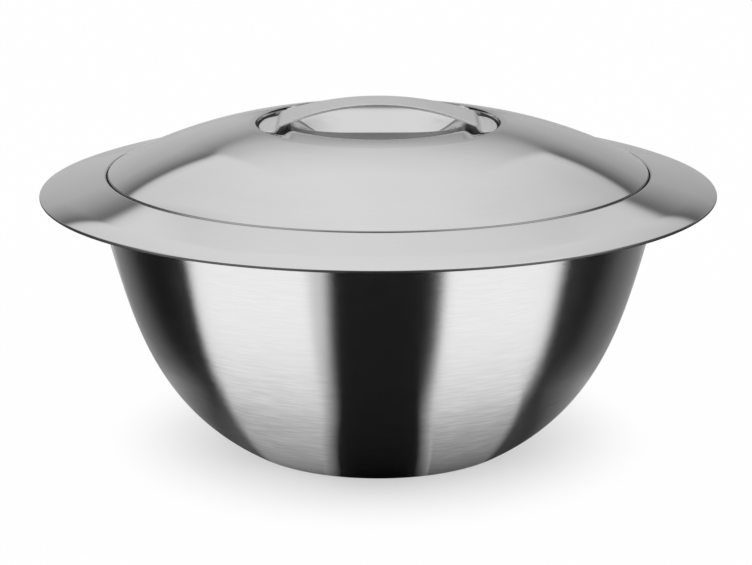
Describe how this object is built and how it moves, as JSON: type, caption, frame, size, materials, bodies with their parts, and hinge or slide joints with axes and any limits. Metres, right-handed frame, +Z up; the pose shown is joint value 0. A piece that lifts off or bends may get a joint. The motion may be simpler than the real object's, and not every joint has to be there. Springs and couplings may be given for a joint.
{
  "type": "insulated bowl with lid",
  "caption": "Insulated stainless serving bowl with brushed sides, a wide polished brim and a lift-off domed lid whose arched strap handle bridges a soft finger dish.",
  "frame": {"origin": "on the table, under the middle of the bowl", "axes": "+Z up the bowl's axis, +X along the lid's handle"},
  "size_m": [0.33, 0.3298, 0.1705],
  "materials": {
    "brushed_steel": "satin",
    "polished_steel": "polished",
    "satin_steel": "satin",
    "foam": "matte"
  },
  "bodies": {
    "bowl": {"outer_bowl": "brushed_steel", "inner_bowl": "polished_steel", "bowl_insulation": "foam"},
    "lid": {"lid_cover": "polished_steel", "lid_liner": "satin_steel", "lid_insulation": "foam", "lid_handle": "polished_steel"}
  },
  "joints": [
    {"name": "lid_lift", "type": "slide", "parent": "bowl", "child": "lid", "axis": [0, 0, 1], "range_m": [0, 0.15]}
  ]
}
